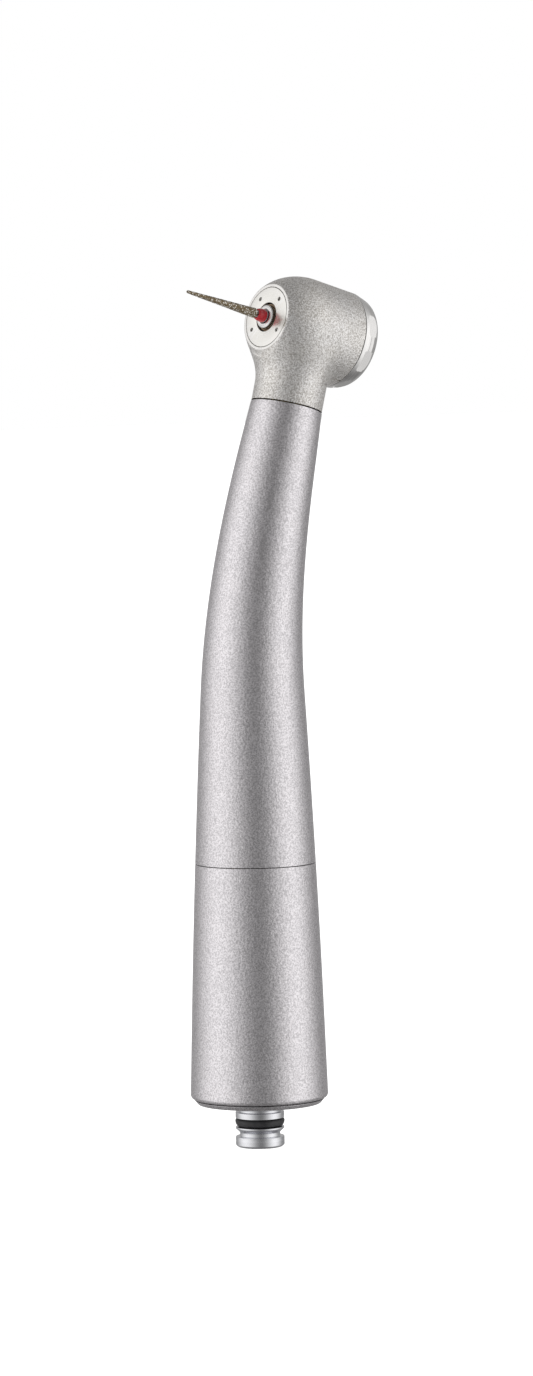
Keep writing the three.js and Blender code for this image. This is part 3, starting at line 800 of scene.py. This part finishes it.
def head_casting():
    """The blended head and neck, cut to length, bored out, stepped at the neck's seam and creased."""
    rough = surface_of("head_casting", head_field, CASTING_LOW, CASTING_HIGH, CASTING_CELL)
    envelope = lathe("envelope", [
        (0, CAP_SEAM), (CAP_RADIUS + 0.02, CAP_SEAM), (CAP_RADIUS + 0.02, -5.05), (6.42, -5.05),
        (6.5, -4.46), (16, -4.46), (16, 5.35), (4.72, 5.35), (4.3, 5.63), (4.16, FACE), (0, FACE),
    ], FINE, 0.02)
    inside = lathe("inside", [
        (0, CAP_SEAM - 1), (5.4, CAP_SEAM - 1), (5.4, CAP_SEAM - 0.01), (5.35, CAP_SEAM + 0.05),
        (5.35, -2.3), (4.85, -2.3), (4.85, 1.8), (3.25, 1.8), (3.25, 2.85), (3.8, 2.85),
        (3.8, 3.45), (3.25, 3.45), (3.25, 4.6), (1.95, 4.6), (1.95, FACE - 0.6),
        (PLATE_RADIUS + SEAM_GAP, FACE - 0.6), (PLATE_RADIUS + SEAM_GAP, FACE - 0.05),
        (PLATE_RADIUS + SEAM_GAP + 0.06, FACE + 0.01), (PLATE_RADIUS + SEAM_GAP + 0.06, FACE + 1),
        (0, FACE + 1),
    ], FINE, 0.02)
    to_neck = Matrix.Rotation(math.pi / 2, 4, "Y")
    seam = lathe("seam", [
        (3.45, -15), (9, -15), (9, -9.9), (NECK_RADIUS, -9.9), (NECK_RADIUS - 0.06, -NECK_LENGTH),
        (3.45, -NECK_LENGTH),
    ], FINE, 0.01)
    end = lathe("end", [(0, -16), (9, -16), (9, -13.06), (0, -13.06)], ROUND, 0)
    socket = lathe("socket", [(0, -15), (2.9, -15), (2.9, -8.9), (0, -8.9)], ROUND, 0)
    for tool in (seam, end, socket):
        tool.transform(to_neck)
    creases = [upper_crease(-1), upper_crease(1), lower_crease(-1), lower_crease(1)]
    kept = boolean(rough, "INTERSECT", envelope)
    return boolean(kept, "DIFFERENCE", inside, seam, end, socket, *creases)


def polish_rim(casting):
    """The flat rim around the face plate and the cap's seat are machined, so their faces take the
    turned finish."""
    casting.data.materials.append(MACHINED_RIM)
    nearly_square = 0.97
    for face in casting.data.polygons:
        rim = face.normal.z > nearly_square and face.center.z > (FACE - 0.12) * MM
        cap_seat = face.normal.z < -nearly_square and face.center.z < (CAP_SEAM + 0.02) * MM
        if rim or cap_seat:
            face.material_index = 1


# ------------------------------------------------------------------ head parts


def face_plate():
    plate = lathe("face_plate", [
        (PLATE_HOLE, FACE - PLATE_THICKNESS), (PLATE_RADIUS, FACE - PLATE_THICKNESS),
        (PLATE_RADIUS, FACE), (PLATE_HOLE, FACE),
    ], FINE, 0.05)
    holes = []
    for angle in map(math.radians, SPRAY_ANGLES):
        tool = lathe("hole", [
            (0, FACE - 2), (SPRAY_RADIUS, FACE - 2), (SPRAY_RADIUS, FACE - 0.03),
            (SPRAY_RADIUS + 0.03, FACE), (SPRAY_RADIUS + 0.03, FACE + 1), (0, FACE + 1),
        ], 32, 0)
        spot = (SPRAY_PITCH_RADIUS * math.cos(angle), SPRAY_PITCH_RADIUS * math.sin(angle), 0)
        tool.transform(Matrix.Translation(spot))
        holes.append(tool)
    return boolean(plate, "DIFFERENCE", *holes)


def slot_tool(angle):
    """A box with rounded front corners that cuts one grip slot into the cap."""
    depth, length, corner = 1.6, 3.0, 0.35
    half = SLOT_WIDTH / 2
    outline = [(-half, -length), (half, -length)]
    for k in range(5):
        a = k * math.pi / 8
        outline.append((half - corner + corner * math.cos(a), -corner + corner * math.sin(a)))
    for k in range(5):
        a = math.pi / 2 + k * math.pi / 8
        outline.append((-half + corner + corner * math.cos(a), -corner + corner * math.sin(a)))
    count = len(outline)
    points = [(SLOT_FLOOR, y, SLOT_START + z) for y, z in outline]
    points += [(SLOT_FLOOR + depth, y, SLOT_START + z) for y, z in outline]
    faces = [tuple(range(count)), tuple(range(count, 2 * count))]
    faces += [(i, (i + 1) % count, count + (i + 1) % count, count + i) for i in range(count)]
    tool = new_mesh("slot", points, faces)
    tool.transform(Matrix.Rotation(angle, 4, "Z"))
    return tool


def head_cap():
    body = lathe("head_cap", [
        (4.65, -2.35), (5.27, -2.35), (5.27, CAP_SEAM - SEAM_LINE), (CAP_RADIUS, CAP_SEAM - SEAM_LINE),
        (6.06, -6.38), (5.93, -6.46), (5.88, -7), (5.64, -7.55), (5.4, CAP_END), (3.95, CAP_END),
        (3.85, -7.75), (3.85, -7.25), (4.4, -7.25), (4.4, -5.4), (4.65, -5.4),
    ], FINE, 0.06)
    slots = [slot_tool(SLOT_PHASE + k * 2 * math.pi / CAP_SLOTS) for k in range(CAP_SLOTS)]
    return boolean(body, "DIFFERENCE", *slots)


def push_button():
    dome = [(r, -8.3 + 0.028 * r ** 2 * (0.6 + 0.05 * r)) for r in (0, 0.6, 1.2, 1.8, 2.4, 3.0, 3.4)]
    rest = [(3.75, -7.78), (3.75, -7.12), (4.15, -7.12), (4.15, -6.5), (0.75, -6.5), (0.75, -5.2)]
    return lathe("push_button", dome + rest + [(0, -5.2)], FINE, 0.08)


def wave_spring():
    """A wire ring with three waves."""
    path = []
    for k in range(144):
        angle = 2 * math.pi * k / 144
        height = WAVE_CENTRE + WAVE_HEIGHT * math.cos(3 * angle)
        path.append((WAVE_RADIUS * math.cos(angle), WAVE_RADIUS * math.sin(angle), height))
    return sweep("wave_spring", path, WAVE_WIRE, 12, True)


def spindle():
    return lathe("spindle", [
        (1.2, -4.5), (1.2, 5.55), (0.88, 5.6), (0.88, COLLAR_END - 0.08), (1.0, COLLAR_END),
        (1.2, COLLAR_END), (1.22, COLLAR_END - 0.05), (1.32, COLLAR_END - 0.05),
        (COLLAR_RADIUS, COLLAR_END - 0.16), (COLLAR_RADIUS, 4.38), (1.54, 4.38), (1.54, -4.72),
        (0.78, -4.72), (0.78, -4.5),
    ], ROUND, 0.03)


def rear_bearing_cup():
    """The cup's bore holds the outer race, with a groove for its O-ring."""
    return lathe("rear_bearing_cup", [
        (3.25, -2.4), (4.57, -2.4), (4.57, -4.92), (2.4, -4.92), (2.4, -4.66), (3.25, -4.66),
        (3.25, -3.69), (3.8, -3.69), (3.8, -3.09), (3.25, -3.09),
    ])


def chuck_plunger():
    return lathe("chuck_plunger", [
        (0, -4.95), (0.6, -4.95), (0.6, -4.42), (1.1, -4.42), (1.1, -3.6), (0, -3.6),
    ], SMALL)


def bearing_race(name, wall, land, centre):
    """A ring from wall to land, with an arc groove for the balls in the land."""
    groove, half = BALL_RADIUS + 0.05, BEARING_WIDTH / 2
    reach = math.asin(abs(land - BALL_PITCH) / groove)
    side = 1 if land > BALL_PITCH else -1
    turn = np.linspace(math.pi / 2 - reach, reach - math.pi / 2, 15)
    arc = [(BALL_PITCH + side * groove * math.cos(a), centre + groove * math.sin(a)) for a in turn]
    outline = [(wall, centre + half), (land, centre + half), *arc, (land, centre - half)]
    return lathe(name, outline + [(wall, centre - half)], ROUND, 0.03)


def ball(name, centre):
    """A ball as a turned half circle, set at its place in the bearing."""
    turn = np.linspace(-math.pi / 2, math.pi / 2, 17)
    outline = [(BALL_RADIUS * math.cos(a) if 0 < i < 16 else 0, BALL_RADIUS * math.sin(a))
               for i, a in enumerate(turn)]
    mesh = lathe(name, outline, 32, 0)
    mesh.transform(Matrix.Translation(centre))
    return mesh


def bur_grit():
    """The diamond part: a cone whose surface is heaped with grains."""
    rings, sides = 230, 88
    base_closing, tip_closing = 40, 60
    fine_height, fine_per_mm = 0.012, 14
    points, faces = [], []
    for i in range(rings + 1):
        t = i / rings
        z = BAND_END + t * (BUR_TIP - BAND_END)
        cone = BUR_BASE_RADIUS + (BUR_TIP_RADIUS - BUR_BASE_RADIUS) * t
        ends = min(1.0, t * base_closing) * math.sqrt(max(0.0, min(1.0, (1 - t) * tip_closing)))
        for k in range(sides):
            angle = 2 * math.pi * k / sides
            direction = Vector((math.cos(angle), math.sin(angle), 0))
            spot = direction * cone + Vector((0, 0, z))
            nearest = noise.voronoi(spot * GRAINS_PER_MM)[0][0]
            fine = fine_height * noise.noise(spot * fine_per_mm)
            heap = GRAIN_HEIGHT * (GRAIN_REACH - nearest) + fine
            points.append(direction * max(0.0, (cone + heap) * ends) + Vector((0, 0, z)))
    for i in range(rings):
        for k in range(sides):
            j = (k + 1) % sides
            faces.append((i * sides + k, i * sides + j, (i + 1) * sides + j, (i + 1) * sides + k))
    return new_mesh("bur_grit", points, faces)


def bur_shank():
    return lathe("bur_shank", [
        (0, -2.9), (0.65, -2.9), (SHANK_RADIUS, -2.75), (SHANK_RADIUS, 6.18), (0.42, 6.18),
        (0.42, BAND_END - 0.1), (0, BAND_END - 0.1),
    ], SMALL, 0.04)


def colour_band():
    outline = [(0.47, 6.24), (0.84, 6.24), (0.83, 6.6), (0.78, 6.95), (0.7, 7.2), (0.6, BAND_END - 0.03)]
    return lathe("colour_band", outline + [(0.47, BAND_END - 0.03)], SMALL, 0.05)


# ------------------------------------------------------------------ assembly

piece("front_shell", front_shell())
piece("rear_sleeve", rear_sleeve())
piece("rear_lock_ring", rear_lock_ring())
piece("middle_connector", middle_connector())
piece("coupling_spigot", coupling_spigot(), finish=SPIGOT_STEEL, sharp=35)
piece("spigot_oring", spigot_oring())
piece("connector_oring_front", o_ring("connector_oring_front", 5.83, 0.25, 34))
piece("connector_oring_rear", o_ring("connector_oring_rear", 6.18, 0.25, 26))
piece("manifold_oring", o_ring("manifold_oring", 6.12, 0.28, 10.5))
for tube_name in TUBES:
    piece(tube_name, air_tube(tube_name))

VALVE = Matrix.Translation(Vector((*TUBES["water_tube"][2], 0)) * MM)
piece("check_valve_seat", ring("check_valve_seat", 0.3, 0.72, 8.7, 9.2, SMALL), VALVE)
piece("check_valve_ball", ball("check_valve_ball", (0, 0, 9.66)), VALVE)
coil = piece("check_valve_spring", valve_spring(), VALVE)

casting = piece("head_housing", head_casting(), HEAD, sharp=32, name="head_casting")
polish_rim(casting)
piece("face_plate", face_plate(), HEAD, FACE_STEEL, sharp=35)
piece("head_cap", head_cap(), HEAD, sharp=35)
piece("push_button", push_button(), HEAD)
piece("cap_backing_plate", ring("cap_backing_plate", 1.1, 4.57, -5.36, -5.0), HEAD)
piece("rear_bearing_cup", rear_bearing_cup(), HEAD)
waves = piece("button_spring", wave_spring(), HEAD)
piece("preload_washer", ring("preload_washer", 2.75, 3.15, 4.4, 4.55, ROUND, 0.02), HEAD)
piece("front_bearing_oring", o_ring("front_bearing_oring", 3.5, 0.24, 3.15), HEAD)
piece("rear_bearing_oring", o_ring("rear_bearing_oring", 3.5, 0.24, BEARINGS["rear"]), HEAD)
piece("spindle", spindle(), HEAD)
piece("slinger_ring", ring("slinger_ring", 1.52, 1.7, 4.66, 5.45), HEAD)
piece("chuck_plunger", chuck_plunger(), HEAD)
piece("bur_shank", bur_shank(), HEAD)
piece("bur_colour_band", colour_band(), HEAD)
piece("bur_diamond", bur_grit(), HEAD)
for end_name, middle in BEARINGS.items():
    outer, inner = end_name + "_outer_race", end_name + "_inner_race"
    piece(outer, bearing_race(outer, 3.175, 2.76, middle), HEAD)
    piece(inner, bearing_race(inner, 1.5875, 2.0, middle), HEAD)
    for count in range(BALLS):
        turn_angle = 2 * math.pi * count / BALLS
        label = f"{end_name}_ball_{count + 1}"
        spot = (BALL_PITCH * math.cos(turn_angle), BALL_PITCH * math.sin(turn_angle), middle)
        piece(label, ball(label, spot), HEAD)

# CAD solids that keep their own shape get rounded edges, even shading and a finish.
for node_name, solid in frame["nodes"].items():
    if solid.hide_render:
        continue
    solid.data.materials.clear()
    solid.data.materials.append(FINISHES[SLOT_OF[node_name]])
    solid.data.shade_smooth()
    solid.data.set_sharp_from_angle(angle=EDGE_ANGLE)
    edges = solid.modifiers.new("rounded edges", "BEVEL")
    edges.width = EDGE_ROUNDING * MM
    edges.segments = 2
    edges.limit_method = "ANGLE"
    edges.angle_limit = EDGE_ANGLE
    edges.use_clamp_overlap = True
    solid.modifiers.new("even shading", "WEIGHTED_NORMAL").keep_sharp = True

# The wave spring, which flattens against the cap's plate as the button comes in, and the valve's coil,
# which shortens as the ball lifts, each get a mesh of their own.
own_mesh(waves)
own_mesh(coil)

# ------------------------------------------------------------------ floor, light and camera

VIEW_AZIMUTH = math.radians(-38.607)
VIEW_ELEVATION = math.radians(3.8735)
VIEW_ROLL = math.radians(-0.9796)
VIEW_TARGET = Vector((2.2075, 0, 51.337)) * MM
VIEW_DISTANCE = 0.7416
LENS = 157.16


def camera():
    """The photograph's viewpoint: nearly level, from the front left, with a long lens."""
    level = math.cos(VIEW_ELEVATION)
    back = Vector((
        math.sin(VIEW_AZIMUTH) * level,
        -math.cos(VIEW_AZIMUTH) * level,
        math.sin(VIEW_ELEVATION),
    ))
    right = Vector((math.cos(VIEW_AZIMUTH), math.sin(VIEW_AZIMUTH), 0))
    up = back.cross(right)
    rolled_right = right * math.cos(VIEW_ROLL) + up * math.sin(VIEW_ROLL)
    rolled_up = up * math.cos(VIEW_ROLL) - right * math.sin(VIEW_ROLL)
    data = bpy.data.cameras.new("camera")
    data.lens = LENS
    data.sensor_width = 36
    data.clip_start = 0.01
    data.clip_end = 100
    seen = bpy.data.objects.new("camera", data)
    bpy.context.scene.collection.objects.link(seen)
    place = VIEW_TARGET + back * VIEW_DISTANCE
    turn = Matrix((rolled_right, rolled_up, back)).transposed().to_4x4()
    seen.matrix_world = Matrix.Translation(place) @ turn
    bpy.context.scene.camera = seen


def floor():
    """A wide pale table top just under the spigot."""
    size, drop = 3.0, -(SPIGOT_LENGTH + 0.02) * MM
    steps = 8
    points = [(size * (2 * i / steps - 1), size * (2 * j / steps - 1), drop)
              for i in range(steps + 1) for j in range(steps + 1)]
    faces = [(i * (steps + 1) + j, (i + 1) * (steps + 1) + j, (i + 1) * (steps + 1) + j + 1,
              i * (steps + 1) + j + 1) for i in range(steps) for j in range(steps)]
    top = bpy.data.objects.new("floor", new_mesh("floor", points, faces))
    bpy.context.scene.collection.objects.link(top)
    material, graph, shader = new_material("pale_floor")
    grain = graph.noise(graph.node("ShaderNodeTexCoord").outputs["Object"], 60.0, 2.0)
    graph.feed(shader.inputs["Base Color"], graph.mix(grain, (0.93, 0.93, 0.93), (0.95, 0.95, 0.95)))
    graph.feed(shader.inputs["Roughness"], graph.ranged(grain, 0.3, 0.7, 0.85, 0.95))
    shader.inputs["Emission Color"].default_value = (1, 1, 1, 1)
    shader.inputs["Emission Strength"].default_value = FLOOR_GLOW
    top.data.materials.append(material)
    top.visible_glossy = False


def towards(azimuth, elevation):
    """The unit vector at an azimuth from the camera's side of the object, positive to its right."""
    facing = math.atan2(-math.cos(VIEW_AZIMUTH), math.sin(VIEW_AZIMUTH))
    angle, rise = facing + math.radians(azimuth), math.radians(elevation)
    return (math.cos(angle) * math.cos(rise), math.sin(angle) * math.cos(rise), math.sin(rise))


# Soft boxes of the studio: direction, strength and narrowness
SOFT_BOXES = [
    (towards(72, 0), 1.0, 4.2),
    (towards(-68, 4), 0.92, 3.2),
    (towards(112, 42), 0.30, 5.0),
    (towards(-108, 14), 0.34, 6.0),
    (towards(180, 0), 0.28, 4.0),
]
LOBE_HEIGHT = 1.7
ROOM_LIGHT = 0.175
FLOOR_GLOW = 0.85


def studio():
    """Soft boxes as smooth lobes of light around the object, and a white backdrop."""
    world = bpy.data.worlds.new("studio")
    bpy.context.scene.world = world
    world.use_nodes = True
    graph = Graph(world.node_tree)
    graph.tree.nodes.clear()
    direction = graph.node("ShaderNodeTexCoord").outputs["Generated"]
    level = graph.vector_math("MULTIPLY", direction, (1.0, 1.0, 1 / LOBE_HEIGHT))
    direction = graph.vector_math("NORMALIZE", level)
    light = ROOM_LIGHT
    for facing, strength, narrowness in SOFT_BOXES:
        lobe = graph.math("MAXIMUM", graph.vector_math("DOT_PRODUCT", direction, facing), 0.0)
        glow = graph.math("MULTIPLY", graph.math("POWER", lobe, narrowness), strength)
        light = graph.math("ADD", light, glow)
    studio_light = graph.node("ShaderNodeBackground", None, Color=(1, 0.99, 0.985), Strength=light)
    backdrop = graph.node("ShaderNodeBackground", None, Color=(1, 1, 1), Strength=1.0)
    seen = graph.node("ShaderNodeLightPath").outputs["Is Camera Ray"]
    choice = graph.node("ShaderNodeMixShader")
    for socket, value in zip(choice.inputs, (seen, studio_light.outputs[0], backdrop.outputs[0])):
        graph.feed(socket, value)
    graph.node("ShaderNodeOutputWorld", None, Surface=choice.outputs[0])


def overhead():
    """A broad overhead panel that whitens the floor, kept out of the metal's reflections."""
    data = bpy.data.lights.new("overhead", "AREA")
    data.shape = "DISK"
    data.size = 3.0
    data.energy = 5.0
    lamp = bpy.data.objects.new("overhead", data)
    bpy.context.scene.collection.objects.link(lamp)
    lamp.location = (0, 0, 2.0)
    lamp.visible_glossy = False
    lamp.visible_camera = False


camera()
floor()
studio()
overhead()
bpy.context.scene.view_settings.view_transform = "Standard"
